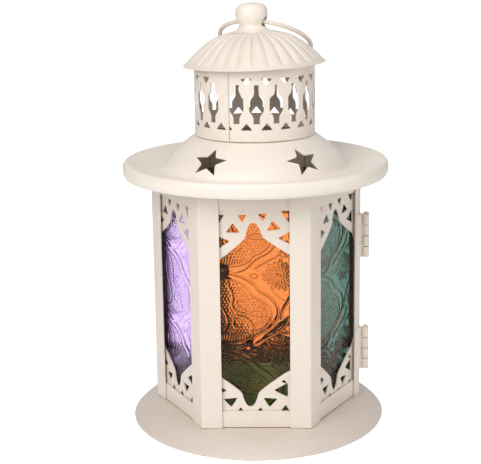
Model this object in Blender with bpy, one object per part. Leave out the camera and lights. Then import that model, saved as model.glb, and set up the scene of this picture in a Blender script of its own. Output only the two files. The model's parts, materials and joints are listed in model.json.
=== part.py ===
"""Hexagonal metal lantern with coloured panes, a side-hinged door and a carrying ring.

+Z is up and the front pane faces -Y.  The origin is the centre of the face it rests on.
"""
import math

import bmesh
import bpy
from mathutils import Matrix, Vector
from mathutils.geometry import tessellate_polygon

MM = 0.001

# Driving dimensions
GAP = 0.3 * MM
SHEET = 0.8 * MM
FOOT_Z = 10.0 * MM            # top of the base plate, where the body stands
BASE_RADIUS = 78.0 * MM
BODY_RADIUS = 64.0 * MM       # centre to corner of the hexagon
BODY_TOP = 146.0 * MM         # heights from here on are measured above FOOT_Z
CUP_RADIUS = 20.5 * MM
CUP_HEIGHT = 9.0 * MM

POST_LEG = 12.0 * MM
POST_DOOR_LEG = 3.0 * MM      # the hinge and latch posts, on the door's side
POST_HINGE_LEG = 7.0 * MM     # the hinge post, on its fixed side
POST_WIDE_LEG = 17.0 * MM     # the left post, on the back left side
POST_BEND = 0.9 * MM
BOTTOM_RAIL_TOP = 10.6 * MM
TOP_RAIL_FOOT = 131.0 * MM
RAIL_HALF = 30.3 * MM
FRET_HALF = 28.5 * MM
FRET_TOP_APEX = 124.3 * MM
FRET_BOTTOM_APEX = 14.1 * MM
PANE_HALF = 27.6 * MM
PANE_FOOT = 2.0 * MM
PANE_TOP = 136.0 * MM
PANE_THICKNESS = 2.8 * MM

DOOR_HALF = 28.7 * MM
DOOR_FOOT = 1.0 * MM
DOOR_TOP = 141.5 * MM
LINTEL_FOOT = 138.0 * MM
OPENING_HALF = 20.0 * MM
HINGE_RADIUS = 67.2 * MM      # lantern axis to hinge pin
BARREL_RADIUS = 2.1 * MM
PIN_RADIUS = 0.85 * MM
HINGE_LENGTH = 27.0 * MM
HINGE_FEET = {"lower": 17.0 * MM, "upper": 89.3 * MM}
FIXED_LEAF = 6.6 * MM         # reach of the leaves from the corner
DOOR_LEAF = 10.0 * MM
KNUCKLES = 4
LATCH_ALONG = 24.3 * MM
LATCH_Z = 76.0 * MM
LATCH_REACH = 7.0 * MM
RIVET_RADIUS = 1.2 * MM

ROOF_SHEET = 0.9 * MM
STAR_AZIMUTHS = (-121.7, -54.0, 19.1, 92.2, 165.3)
STAR_RADIUS = 48.1 * MM
STAR_Z = 156.2 * MM
STAR_SLOPE = 46.0
STAR_WIDE = 11.4 * MM
STAR_TALL = 9.8 * MM
STAR_INNER = 0.42

GALLERY_RADIUS = 36.5 * MM
CROWN_TOP = 166.5 * MM
GALLERY_FOOT = CROWN_TOP + GAP
GALLERY_TOP = 211.3 * MM
GALLERY_CELLS = 19
GALLERY_PITCH = 18.62         # degrees from one bottle opening to the next
GALLERY_START = -115.13       # azimuth where the first cell starts, beside the plain lap

CAP_TILT = -1.7               # the cap sits slightly crooked on the gallery
CAP_HINGE_Z = 210.0 * MM
FLUTES = 28
FLUTE_DEPTH = 0.5 * MM
KNOB_OFFSET = -0.5 * MM

RING_RADIUS = 28.2 * MM
RING_WIRE = 1.4 * MM
RING_CHORD = 8.0 * MM         # half of the chord that lies inside the knob
RING_Z = 233.5 * MM
RING_SHIFT = -0.8 * MM
RING_TURN = -18.2
RING_LIE = 30.0              # degrees below level, resting on the cap's edge
KNOB_HOLE = 3.25 * MM

FACES = {"front": -90, "front_right": -30, "back_right": 30,
         "back": 90, "back_left": 150, "front_left": 210}
POSTS = {"right": 0, "back_right": 60, "back_left": 120,
         "left": 180, "front_left": 240, "front_right": 300}
DOOR_FACE = "back_right"
FIXED_FACES = [name for name in FACES if name != DOOR_FACE]
# How far each stamped pattern is off: sideways, upwards (mm) and turned (degrees)
PATTERN_PLACE = {
    "front": ((-0.8, -0.5, 3.3), (-3.4, -1.0, 0.0)),
    "front_right": ((2.3, 0.6, 4.0), (1.7, -1.5, -3.0)),
    "front_left": ((-4.6, 0.5, -2.5), (-4.8, 0.0, 0.0)),
}
SQUARE_PATTERN = ((0.0, 0.0, 0.0), (0.0, 0.0, 0.0))

APOTHEM = BODY_RADIUS * math.cos(math.pi / 6)
CORNER_ALONG = BODY_RADIUS / 2
POST_BACK = APOTHEM - SHEET
RAIL_FRONT = POST_BACK - GAP
FRET_FRONT = RAIL_FRONT - SHEET - GAP
PANE_FRONT = FRET_FRONT - SHEET - GAP


# Clean start and shared helpers

for old in list(bpy.data.objects):
    bpy.data.objects.remove(old)


def material(name, color, roughness, metallic=0.0, transmission=0.0):
    mat = bpy.data.materials.new(name)
    mat.use_nodes = True
    shader = mat.node_tree.nodes["Principled BSDF"]
    shader.inputs["Base Color"].default_value = (*color, 1.0)
    shader.inputs["Roughness"].default_value = roughness
    shader.inputs["Metallic"].default_value = metallic
    shader.inputs["Transmission Weight"].default_value = transmission
    return mat


ENAMEL = material("ivory_enamel", (0.86, 0.79, 0.70), 0.35)
STEEL = material("plain_steel", (0.55, 0.53, 0.50), 0.4, metallic=1.0)
PANE_COLORS = {"front": (0.16, 0.35, 0.05), "front_right": (0.80, 0.30, 0.04),
               "back_right": (0.05, 0.20, 0.60), "back": (0.75, 0.10, 0.03),
               "back_left": (0.30, 0.16, 0.75), "front_left": (0.03, 0.40, 0.42)}


def finish(name, bm, mat, matrix=None, smooth=False):
    """Turn a bmesh into a named object."""
    bmesh.ops.recalc_face_normals(bm, faces=bm.faces[:])
    mesh = bpy.data.meshes.new(name)
    bm.to_mesh(mesh)
    bm.free()
    if smooth:
        mesh.shade_smooth()
        mesh.set_sharp_from_angle(angle=math.radians(35))
    mesh.materials.append(mat)
    obj = bpy.data.objects.new(name, mesh)
    bpy.context.scene.collection.objects.link(obj)
    if matrix is not None:
        obj.matrix_world = matrix
    return obj


def empty(name, matrix):
    obj = bpy.data.objects.new(name, None)
    bpy.context.scene.collection.objects.link(obj)
    obj.matrix_world = matrix
    bpy.context.view_layer.update()
    return obj


def attach(child, parent):
    """Parent without moving the child."""
    child.parent = parent
    child.matrix_parent_inverse = parent.matrix_world.inverted()


def cut(obj, cutter):
    """Cut one object out of another with a live Boolean."""
    cutter.hide_render = True
    cutter.display_type = "WIRE"
    modifier = obj.modifiers.new("cut", "BOOLEAN")
    modifier.operation = "DIFFERENCE"
    modifier.solver = "EXACT"
    modifier.object = cutter


def raised(matrix=None):
    """Place something in the body's frame, whose zero is the top of the base plate."""
    lift = Matrix.Translation((0, 0, FOOT_Z))
    return lift if matrix is None else lift @ matrix


def face_matrix(angle):
    """X runs along the face, Y is up, and Z points straight out of the lantern."""
    turn = math.radians(angle)
    out = Vector((math.cos(turn), math.sin(turn), 0))
    along = Vector((-math.sin(turn), math.cos(turn), 0))
    up = Vector((0, 0, 1))
    return raised(Matrix((along, up, out)).transposed().to_4x4())


def prism(outline, holes, bottom, top):
    """Flat plate with holes, from one depth to another."""
    bm = bmesh.new()
    loops = [outline, *holes]
    verts = [bm.verts.new((x, y, bottom)) for loop in loops for x, y in loop]
    for corners in tessellate_polygon([[Vector((x, y, 0)) for x, y in loop] for loop in loops]):
        bm.faces.new([verts[i] for i in corners])
    region = bmesh.ops.extrude_face_region(bm, geom=bm.faces[:])["geom"]
    moved = [item for item in region if isinstance(item, bmesh.types.BMVert)]
    bmesh.ops.translate(bm, verts=moved, vec=(0, 0, top - bottom))
    return bm


def rectangle(left, bottom, right, top):
    return [(left, bottom), (right, bottom), (right, top), (left, top)]


def arc(center, radius, start, end, steps):
    """Points on an arc; angles in degrees."""
    points = []
    for i in range(steps + 1):
        turn = math.radians(start + (end - start) * i / steps)
        points.append((center[0] + radius * math.cos(turn), center[1] + radius * math.sin(turn)))
    return points


def smooth_line(points, steps):
    """Catmull-Rom curve through the given points."""
    ends = [points[0], *points, points[-1]]
    line = []
    for a, b, c, d in zip(ends, ends[1:], ends[2:], ends[3:]):
        for i in range(steps):
            t = i / steps
            line.append(tuple(
                0.5 * (2 * q + (r - p) * t + (2 * p - 5 * q + 4 * r - s) * t * t
                       + (3 * q - p - 3 * r + s) * t ** 3)
                for p, q, r, s in zip(a, b, c, d)))
    return [*line, points[-1]]


def sheet_outline(line, thickness):
    """Close an outer line, run from the top outwards and down, into sheet metal."""
    inner = []
    for i, (r, z) in enumerate(line):
        before = Vector(line[max(i - 1, 0)])
        after = Vector(line[min(i + 1, len(line) - 1)])
        here = Vector((r, z))
        sides = [Vector((d.y, -d.x)).normalized()
                 for d in (here - before, after - here) if d.length > 0]
        mitre = (sides[0] + sides[-1]).normalized()
        inner.append(tuple(here + mitre * (thickness / mitre.dot(sides[0]))))
    return [*line, *reversed(inner)]


def lathe(profile, segments, closed=True):
    """Spin a (radius, height) outline once round Z."""
    bm = bmesh.new()
    verts = [bm.verts.new((r, 0, z)) for r, z in profile]
    edges = [bm.edges.new(pair) for pair in zip(verts, verts[1:])]
    if closed:
        edges.append(bm.edges.new((verts[-1], verts[0])))
    bmesh.ops.spin(bm, geom=[*verts, *edges], cent=(0, 0, 0), axis=(0, 0, 1),
                   angle=2 * math.pi, steps=segments, use_merge=True)
    bmesh.ops.remove_doubles(bm, verts=bm.verts[:], dist=1e-7)
    return bm


def scaled(points):
    """Points given in millimetres."""
    return [tuple(value * MM for value in point) for point in points]


# Base plate: a spun saucer turned upside down, standing on its rolled rim

def base_plate():
    line = [(0, FOOT_Z), (62.5 * MM, FOOT_Z)]
    line += smooth_line(scaled([(62.5, 10.0), (69.5, 7.6), (75.5, 2.9), (78.0, 0.9)]), 2)[1:]
    line += [(BASE_RADIUS, 0), (BASE_RADIUS - 2.2 * MM, 0)]
    inner = scaled([(75.8, 1.3), (74.6, 2.4), (69.0, 6.7), (62.3, 9.1)])
    return finish("base_plate", lathe([*line, *inner, (0, 9.1 * MM)], 44, closed=False),
                  ENAMEL, smooth=True)


def candle_cup():
    wall = 0.5 * MM
    floor = GAP
    inside = CUP_RADIUS - wall
    profile = [(0, floor), (CUP_RADIUS, floor), (CUP_RADIUS, floor + CUP_HEIGHT),
               (inside, floor + CUP_HEIGHT), (inside, floor + wall), (0, floor + wall)]
    return finish("candle_cup", lathe(profile, 32, closed=False), STEEL, raised(), smooth=True)


# Corner posts: strips folded to the hexagon's corner

def on_face(angle, along, out):
    turn = math.radians(angle)
    return (out * math.cos(turn) - along * math.sin(turn),
            out * math.sin(turn) + along * math.cos(turn))


def corner_post(name, angle):
    first, second = angle - 30, angle + 30
    door = FACES[DOOR_FACE]
    first_leg = POST_DOOR_LEG if first == door else POST_LEG
    second_leg = POST_DOOR_LEG if second == door else POST_LEG
    if second == door:
        first_leg = POST_HINGE_LEG
    if first == FACES["back_left"]:
        first_leg = POST_WIDE_LEG
    inner_corner = POST_BACK * math.tan(math.pi / 6)
    outline = [
        on_face(first, CORNER_ALONG - first_leg, APOTHEM),
        on_face(first, CORNER_ALONG - POST_BEND, APOTHEM),
        on_face(second, POST_BEND - CORNER_ALONG, APOTHEM),
        on_face(second, second_leg - CORNER_ALONG, APOTHEM),
        on_face(second, second_leg - CORNER_ALONG, POST_BACK),
        on_face(second, -inner_corner, POST_BACK),
        on_face(first, CORNER_ALONG - first_leg, POST_BACK),
    ]
    finish("corner_post_" + name, prism(outline, [], GAP, BODY_TOP), ENAMEL, raised())


# Rails, fretwork strips and panes of one face

def rail(name, face, bottom, top):
    outline = rectangle(-RAIL_HALF, bottom, RAIL_HALF, top)
    finish(name, prism(outline, [], RAIL_FRONT - SHEET, RAIL_FRONT), ENAMEL,
           face_matrix(FACES[face]))


def turned(points, degrees):
    """Turn a stamped outline a little round the arch's tip."""
    spin = Matrix.Rotation(math.radians(degrees), 2)
    return [tuple(spin @ Vector(point)) for point in points]


def fret_outline(shift, turn, half):
    """Ogee arch cut into the strip; heights are measured from the arch's tip."""
    side = [(2.3, -0.9), (3.6, -3.4), (4.3, -6.3), (5.4, -8.8),
            (10.0, -12.9), (14.5, -16.3), (19.7, -20.0), (22.5, -21.7)]
    straight_edge = 9.5
    foot = -24.8
    arch = turned([(-x, y) for x, y in reversed(side)] + [(0, 0)] + side, turn)
    left = -half / MM - shift
    right = half / MM - shift
    corners = [(right, foot), (right, straight_edge), (left, straight_edge), (left, foot)]
    return arch + corners


def fret_holes(shift, turn, half):
    """Triangles between the bars, on both sides of the arch, kept off the strip's ends."""
    side = [
        [(3.2, 5.0), (8.5, 5.0), (5.8, 0.5)],
        [(7.6, -5.3), (15.8, -4.7), (11.2, 0.4)],
        [(16.0, 5.8), (24.4, 5.8), (20.6, -1.0)],
        [(13.8, -10.0), (21.7, -5.8), (21.7, -14.2)],
    ]
    holes = side + [[(-x, y) for x, y in hole] for hole in side]
    reach = half / MM - 1.0
    return [[(max(-reach, min(reach, x + shift)) - shift, y) for x, y in turned(hole, turn)]
            for hole in holes]


def fretwork(name, face, apex, upward, off, half, front):
    """Stamped border strip; upward strips have their straight edge on top."""
    sign = 1 if upward else -1
    shift, rise, turn = off
    apex += rise * MM

    def place(points):
        return [((x + shift) * MM, apex + sign * y * MM) for x, y in points]

    turn *= sign
    holes = [place(hole) for hole in fret_holes(shift, turn, half)]
    bm = prism(place(fret_outline(shift, turn, half)), holes,
               front - SHEET, front)
    return finish(name, bm, ENAMEL, face_matrix(FACES[face]))


def pane(name, face, front):
    mat = material("glass_" + face, PANE_COLORS[face], 0.08, transmission=1.0)
    outline = rectangle(-PANE_HALF, PANE_FOOT, PANE_HALF, PANE_TOP)
    return finish(name, prism(outline, [], front - PANE_THICKNESS, front), mat,
                  face_matrix(FACES[face]))


def fixed_face(face):
    top_off, bottom_off = PATTERN_PLACE.get(face, SQUARE_PATTERN)
    rail("bottom_rail_" + face, face, 2 * GAP, BOTTOM_RAIL_TOP)
    rail("top_rail_" + face, face, TOP_RAIL_FOOT, BODY_TOP)
    fretwork("top_fretwork_" + face, face, FRET_TOP_APEX, True, top_off, FRET_HALF, FRET_FRONT)
    fretwork("bottom_fretwork_" + face, face, FRET_BOTTOM_APEX, False, bottom_off,
             FRET_HALF, FRET_FRONT)
    pane("glass_pane_" + face, face, PANE_FRONT)


# Door: frame, two fretwork strips and a pane, turning on the right-hand corner

def door(hinge):
    angle = FACES[DOOR_FACE]
    outline = rectangle(-DOOR_HALF, DOOR_FOOT, DOOR_HALF, DOOR_TOP)
    opening = rectangle(-OPENING_HALF, BOTTOM_RAIL_TOP, OPENING_HALF, TOP_RAIL_FOOT)
    rivet_hole = arc((LATCH_ALONG, LATCH_Z), RIVET_RADIUS + GAP, 0, 330, 11)
    frame = finish("door_frame", prism(outline, [opening, rivet_hole], POST_BACK, APOTHEM),
                   ENAMEL, face_matrix(angle))
    fret_half = PANE_HALF
    top = fretwork("door_top_fretwork", DOOR_FACE, FRET_TOP_APEX, True, SQUARE_PATTERN[0],
                   fret_half, RAIL_FRONT)
    bottom = fretwork("door_bottom_fretwork", DOOR_FACE, FRET_BOTTOM_APEX, False,
                      SQUARE_PATTERN[1], fret_half, RAIL_FRONT)
    glass = pane("door_glass_pane", DOOR_FACE, RAIL_FRONT - SHEET - GAP)
    for piece in (frame, top, bottom, glass):
        attach(piece, hinge)


def door_lintel():
    """Fixed strip above the door; the door's frame closes against its lower edge."""
    outline = rectangle(-RAIL_HALF, LINTEL_FOOT, RAIL_HALF, BODY_TOP)
    finish("door_lintel", prism(outline, [], RAIL_FRONT - SHEET, RAIL_FRONT), ENAMEL,
           face_matrix(FACES[DOOR_FACE]))


# Butt hinges: two leaves whose knuckles alternate on one pin

def hinge_leaf(name, angle, side, foot, first_knuckle):
    """side is +1 where the barrel lies at the face's right end, -1 at its left end."""
    barrel_along = HINGE_RADIUS * math.sin(math.radians(30))
    barrel_out = HINGE_RADIUS * math.cos(math.radians(30))
    back = APOTHEM + GAP
    front = back + SHEET
    leaf_end = CORNER_ALONG - (FIXED_LEAF if side > 0 else DOOR_LEAF)
    plate_end = CORNER_ALONG - 0.6 * MM
    meet = math.degrees(math.asin((front - barrel_out) / BARREL_RADIUS))
    outline = [(leaf_end, back), (CORNER_ALONG + 0.2 * MM, back)]
    outline += arc((barrel_along, barrel_out), BARREL_RADIUS, -120, 180 - meet, 12)
    outline += [(leaf_end, front)]
    bore = arc((barrel_along, barrel_out), PIN_RADIUS + GAP, 0, 330, 11)
    outline = [on_face(angle, side * along, out) for along, out in outline]
    bore = [on_face(angle, side * along, out) for along, out in bore]
    leaf = finish(name, prism(outline, [bore], foot, foot + HINGE_LENGTH), ENAMEL, raised())

    knuckle = HINGE_LENGTH / KNUCKLES
    reach = barrel_along + 2 * BARREL_RADIUS
    for i in range(1 - first_knuckle, KNUCKLES, 2):
        bottom = foot + i * knuckle - (GAP / 2 if i else GAP)
        top = foot + (i + 1) * knuckle + (GAP / 2 if i < KNUCKLES - 1 else GAP)
        block = rectangle(plate_end, back - 2 * SHEET, reach, barrel_out + 2 * BARREL_RADIUS)
        block = [on_face(angle, side * along, out) for along, out in block]
        cut(leaf, finish(name + "_gap_" + str(i), prism(block, [], bottom, top), STEEL, raised()))
    return leaf


def hinge_pin(name, foot):
    head_z = foot + HINGE_LENGTH + GAP
    profile = [(0, foot), (PIN_RADIUS, foot), (PIN_RADIUS, head_z),
               (1.7 * MM, head_z), (1.4 * MM, head_z + 0.9 * MM), (0, head_z + 1.1 * MM)]
    place = raised(Matrix.Translation((HINGE_RADIUS, 0, 0)))
    finish(name, lathe(profile, 14, closed=False), STEEL, place, smooth=True)


def butt_hinge(which, foot, hinge):
    hinge_leaf(which + "_hinge_fixed_leaf", FACES["front_right"], 1, foot, 0)
    moving = hinge_leaf(which + "_hinge_door_leaf", FACES[DOOR_FACE], -1, foot, 1)
    attach(moving, hinge)
    hinge_pin(which + "_hinge_pin", foot)


# Latch: a tab that turns on a rivet and laps over the corner post

def latch(hinge):
    on_door = face_matrix(FACES[DOOR_FACE]) @ Matrix.Translation((LATCH_ALONG, LATCH_Z, 0))
    pivot = empty("latch_pivot", on_door)
    attach(pivot, hinge)
    half = 2.5 * MM
    outline = arc((0, 0), half, 0, 180, 6)
    outline += arc((0, half - LATCH_REACH), half, 180, 360, 6)
    bore = arc((0, 0), RIVET_RADIUS + GAP, 0, 330, 11)
    back = APOTHEM + GAP
    tab = finish("latch_tab", prism(outline, [bore], back, back + SHEET), ENAMEL, on_door)
    attach(tab, pivot)
    head = back + SHEET + GAP
    tail = POST_BACK - GAP
    profile = [(0, tail - 0.6 * MM), (2.0 * MM, tail - 0.6 * MM), (2.0 * MM, tail),
               (RIVET_RADIUS, tail), (RIVET_RADIUS, head), (2.3 * MM, head),
               (1.6 * MM, head + 0.8 * MM), (0, head + 1.0 * MM)]
    rivet = finish("latch_rivet", lathe(profile, 14, closed=False), STEEL, on_door, smooth=True)
    attach(rivet, hinge)


# Roof: a spun hat with five stars cut through its crown

def roof():
    crown = scaled([(36.9, 166.5), (45.5, 159.8), (52.3, 152.6), (54.9, 148.4)])
    brim = smooth_line(scaled([(57.0, 147.2), (64.0, 147.6), (71.5, 149.4), (77.0, 151.6),
                               (79.5, 150.4), (80.2, 147.0)]), 2)
    shelf = (33.5 * MM, CROWN_TOP)
    line = [shelf, *crown, *brim, (79.0 * MM, 142.6 * MM)]
    hat = finish("roof", lathe(sheet_outline(line, ROOF_SHEET), 44), ENAMEL, raised(), smooth=True)
    for i, azimuth in enumerate(STAR_AZIMUTHS):
        cut(hat, star_cutter("star_" + str(i + 1), azimuth))


def star_cutter(name, azimuth):
    outline = []
    for i in range(10):
        reach = STAR_INNER if i % 2 else 1.0
        turn = math.radians(90 + 36 * i)
        outline.append((STAR_WIDE * reach * math.cos(turn), STAR_TALL * reach * math.sin(turn)))
    turn = math.radians(azimuth)
    slope = math.radians(STAR_SLOPE)
    outward = Vector((math.cos(turn), math.sin(turn), 0))
    across = Vector((-math.sin(turn), math.cos(turn), 0))
    up = Vector((0, 0, 1)) * math.sin(slope) - outward * math.cos(slope)
    normal = across.cross(up)
    place = Matrix((across, up, normal)).transposed().to_4x4()
    place.translation = outward * STAR_RADIUS + Vector((0, 0, STAR_Z))
    return finish(name, prism(outline, [], -5 * MM, 5 * MM), STEEL, raised(place))


# Gallery: a perforated strip rolled into a tube

GALLERY_SIDE = [174.1, 178.0, 199.5, 203.3]


def gallery_half_cell():
    """Sheet between a bar's centre line and the next opening's centre line, in mm."""
    middle = math.radians(GALLERY_PITCH / 2) * GALLERY_RADIUS / MM
    foot, top = GALLERY_FOOT / MM, GALLERY_TOP / MM
    low_base, low_tip, high_tip, high_base = GALLERY_SIDE
    upper_node, lower_node, bar = 197.0, 181.0, 1.75
    upper_radius, lower_radius = 4.6, 4.1
    outline = [(0, foot), (0, low_base), (3.0, low_base), (0, low_tip),
               (0, high_tip), (3.0, high_base), (0, high_base), (0, top), (middle, top),
               (middle, 199.5), (upper_radius, 199.5)]
    outline += arc((0, upper_node), upper_radius, 0, -math.degrees(math.acos(bar / upper_radius)), 3)
    outline += arc((0, lower_node), lower_radius, math.degrees(math.acos(bar / lower_radius)), 0, 3)
    outline += [(3.9, 177.6), (middle, 177.6), (middle, foot)]
    return scaled(outline)


def gallery_lap(width):
    """Plain sheet where the strip's ends lap, in mm."""
    heights = [GALLERY_FOOT / MM, *GALLERY_SIDE, GALLERY_TOP / MM]
    return scaled([(0, z) for z in heights] + [(width, z) for z in reversed(heights)])


def gallery():
    bm = bmesh.new()

    def wrap(outline, azimuth, side):
        verts = []
        for x, z in outline:
            turn = math.radians(azimuth) + side * x / GALLERY_RADIUS
            verts.append(bm.verts.new((GALLERY_RADIUS * math.cos(turn),
                                       GALLERY_RADIUS * math.sin(turn), z)))
        flat = [[Vector((x, z, 0)) for x, z in outline]]
        for corners in tessellate_polygon(flat):
            bm.faces.new([verts[k] for k in corners][::side])

    half = gallery_half_cell()
    for i in range(GALLERY_CELLS):
        wrap(half, GALLERY_START + i * GALLERY_PITCH, 1)
        wrap(half, GALLERY_START + (i + 1) * GALLERY_PITCH, -1)
    lap = 360.0 - GALLERY_CELLS * GALLERY_PITCH
    wrap(gallery_lap(math.radians(lap) * GALLERY_RADIUS / MM), GALLERY_START - lap, 1)
    bmesh.ops.remove_doubles(bm, verts=bm.verts[:], dist=1e-6)
    region = bmesh.ops.extrude_face_region(bm, geom=bm.faces[:])["geom"]
    inner = 1 - SHEET / GALLERY_RADIUS
    moved = [item for item in region if isinstance(item, bmesh.types.BMVert)]
    bmesh.ops.scale(bm, verts=moved, vec=(inner, inner, 1))
    finish("gallery", bm, ENAMEL, raised(), smooth=True)


# Cap: fluted dome, turned knob and carrying ring

def cap_matrix():
    seat = Matrix.Translation((0, 0, FOOT_Z + CAP_HINGE_Z))
    return seat @ Matrix.Rotation(math.radians(CAP_TILT), 4, "Y")


def cap_line(points):
    """Cap outline in mm, with heights measured from the cap's seat."""
    return [(r * MM, z * MM - CAP_HINGE_Z) for r, z in points]


def dome_cap():
    line = cap_line([(5.0, 229.0), (12.4, 227.7), (21.9, 225.0), (29.7, 220.4),
                     (35.4, 215.6), (39.4, 211.6), (42.4, 209.3)])
    bm = lathe(sheet_outline(line, SHEET), 2 * FLUTES)
    inner_end, outer_start = 12.0 * MM, 41.0 * MM
    for vert in bm.verts:
        radius = math.hypot(vert.co.x, vert.co.y)
        if inner_end < radius < outer_start:
            flute = round(math.atan2(vert.co.y, vert.co.x) * FLUTES / math.pi)
            swell = min(1.0, (radius - inner_end) / (12.0 * MM)) * FLUTE_DEPTH
            vert.co.z += swell if flute % 2 else -swell
    finish("dome_cap", bm, ENAMEL, cap_matrix(), smooth=True)


def finial_knob():
    outer = [(0, 244.5), (3.0, 244.4), (6.7, 243.7), (8.6, 242.6), (9.5, 240.8),
             (9.5, 236.5), (8.5, 233.6), (7.6, 231.5), (8.6, 229.8), (11.2, 228.7)]
    inner = [(10.2, 228.6), (7.8, 229.9), (6.8, 231.6), (7.7, 233.9), (8.7, 236.8),
             (8.7, 240.5), (7.8, 242.1), (6.2, 243.0), (2.8, 243.6), (0, 243.7)]
    place = cap_matrix() @ Matrix.Translation((KNOB_OFFSET, 0, 0))
    bm = lathe(cap_line(outer + inner), 28, closed=False)
    return finish("finial_knob", bm, ENAMEL, place, smooth=True)


def ring_handle():
    turn = Matrix.Rotation(math.radians(RING_TURN), 4, "Z")
    lie = Matrix.Rotation(math.radians(-RING_LIE), 4, "X")
    pivot_place = Matrix.Translation((RING_SHIFT, 0, FOOT_Z + RING_Z)) @ turn @ lie
    pivot = empty("ring_pivot", pivot_place)
    bm = bmesh.new()
    circle = bmesh.ops.create_circle(bm, segments=8, radius=RING_WIRE)["verts"]
    to_rim = Matrix.Translation((RING_RADIUS, 0, 0)) @ Matrix.Rotation(math.pi / 2, 4, "X")
    bmesh.ops.transform(bm, matrix=to_rim, verts=circle)
    bmesh.ops.spin(bm, geom=bm.verts[:] + bm.edges[:], cent=(0, 0, 0), axis=(0, 0, 1),
                   angle=2 * math.pi, steps=44, use_merge=True)
    bmesh.ops.remove_doubles(bm, verts=bm.verts[:], dist=1e-7)
    reach = math.sqrt(RING_RADIUS ** 2 - RING_CHORD ** 2)
    ring = finish("ring_handle", bm, ENAMEL, pivot_place @ Matrix.Translation((0, reach, 0)),
                  smooth=True)
    attach(ring, pivot)
    return pivot


def knob_holes(knob, pivot):
    """One straight hole through both walls for the ring."""
    outline = arc((0, 0), KNOB_HOLE, 0, 345, 15)
    place = pivot.matrix_world @ Matrix.Rotation(math.pi / 2, 4, "Y")
    cut(knob, finish("knob_hole", prism(outline, [], -15 * MM, 15 * MM), STEEL, place))


# Assembly

base_plate()
candle_cup()
for post_name, post_angle in POSTS.items():
    corner_post(post_name, post_angle)
for face_name in FIXED_FACES:
    fixed_face(face_name)

door_axis = empty("door_hinge_axis", raised(Matrix.Translation((HINGE_RADIUS, 0, 0))))
door(door_axis)
door_lintel()
for hinge_name, hinge_foot in HINGE_FEET.items():
    butt_hinge(hinge_name, hinge_foot, door_axis)
latch(door_axis)

roof()
gallery()
dome_cap()
knob_holes(finial_knob(), ring_handle())
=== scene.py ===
import json
import math

import bmesh
import bpy
import numpy as np
from mathutils import Matrix, Vector
from mathutils.geometry import tessellate_polygon


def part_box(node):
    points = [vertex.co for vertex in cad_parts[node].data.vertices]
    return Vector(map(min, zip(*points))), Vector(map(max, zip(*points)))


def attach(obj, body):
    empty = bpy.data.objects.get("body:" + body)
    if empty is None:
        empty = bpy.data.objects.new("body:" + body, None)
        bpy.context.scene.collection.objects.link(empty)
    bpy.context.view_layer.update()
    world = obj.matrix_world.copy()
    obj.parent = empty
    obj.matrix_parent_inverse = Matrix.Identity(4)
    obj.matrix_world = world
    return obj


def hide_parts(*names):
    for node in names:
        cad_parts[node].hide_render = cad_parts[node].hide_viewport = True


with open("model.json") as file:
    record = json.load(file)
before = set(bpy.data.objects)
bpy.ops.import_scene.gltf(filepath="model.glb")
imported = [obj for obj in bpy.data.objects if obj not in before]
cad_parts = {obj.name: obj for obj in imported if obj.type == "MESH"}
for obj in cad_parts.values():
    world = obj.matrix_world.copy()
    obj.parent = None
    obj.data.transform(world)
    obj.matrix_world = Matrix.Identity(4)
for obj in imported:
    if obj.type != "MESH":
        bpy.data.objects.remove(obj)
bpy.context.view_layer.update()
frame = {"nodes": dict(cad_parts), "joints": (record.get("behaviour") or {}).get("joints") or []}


# ---------------------------------------------------------------- Base plate
# A disc of 0.8 mm steel sheet spun into a shallow saucer and turned upside
# down.  Its rim is rolled under so that it stands flat.  Ivory enamel all over.

MM = 0.001
base_low, base_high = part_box("base_plate")
FOOT_Z = base_high.z
BASE_RADIUS = base_high.x
SPUN_TURNS = 176


def smooth_curve(points, steps=6, closed=False):
    """Catmull-Rom curve through a few points."""
    if closed:
        ring = [points[-1], *points, points[0], points[1]]
    else:
        ring = [points[0], *points, points[-1]]
    line = []
    for a, b, c, d in zip(ring, ring[1:], ring[2:], ring[3:]):
        for i in range(steps):
            t = i / steps
            line.append(tuple(
                0.5 * (2 * q + (r - p) * t + (2 * p - 5 * q + 4 * r - s) * t * t
                       + (3 * q - p - 3 * r + s) * t ** 3)
                for p, q, r, s in zip(a, b, c, d)))
    return line if closed else [*line, points[-1]]


def arc(center, radius, start, end, steps):
    """Points on an arc, its angles in degrees."""
    turns = [math.radians(start + (end - start) * i / steps) for i in range(steps + 1)]
    return [(center[0] + radius * math.cos(t), center[1] + radius * math.sin(t)) for t in turns]


def in_metres(points):
    return [tuple(value * MM for value in point) for point in points]


def spun(outline, turns=SPUN_TURNS, closed=True):
    """Spin a (radius, height) outline round Z."""
    bm = bmesh.new()
    verts = [bm.verts.new((r, 0, z)) for r, z in outline]
    edges = [bm.edges.new(pair) for pair in zip(verts, verts[1:])]
    if closed:
        edges.append(bm.edges.new((verts[-1], verts[0])))
    bmesh.ops.spin(bm, geom=[*verts, *edges], cent=(0, 0, 0), axis=(0, 0, 1),
                   angle=2 * math.pi, steps=turns, use_merge=True)
    bmesh.ops.remove_doubles(bm, verts=bm.verts[:], dist=1e-7)
    return bm


def sheet_outline(line, thickness):
    """Give a line, run from the top outwards and down, the sheet's thickness and round edges."""
    line = [Vector(point) for point in line]
    inner = []
    for i, here in enumerate(line):
        before, after = line[max(i - 1, 0)], line[min(i + 1, len(line) - 1)]
        sides = [Vector((d.y, -d.x)).normalized()
                 for d in (here - before, after - here) if d.length > 0]
        mitre = (sides[0] + sides[-1]).normalized()
        inner.append(here + mitre * (thickness / mitre.dot(sides[0])))
    tips = [(line[i] + inner[i]) / 2 + (line[i] - line[beside]).normalized() * thickness * 0.45
            for i, beside in ((0, 1), (-1, -2))]
    return [tuple(point) for point in (*line, tips[1], *reversed(inner), tips[0])]


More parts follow.
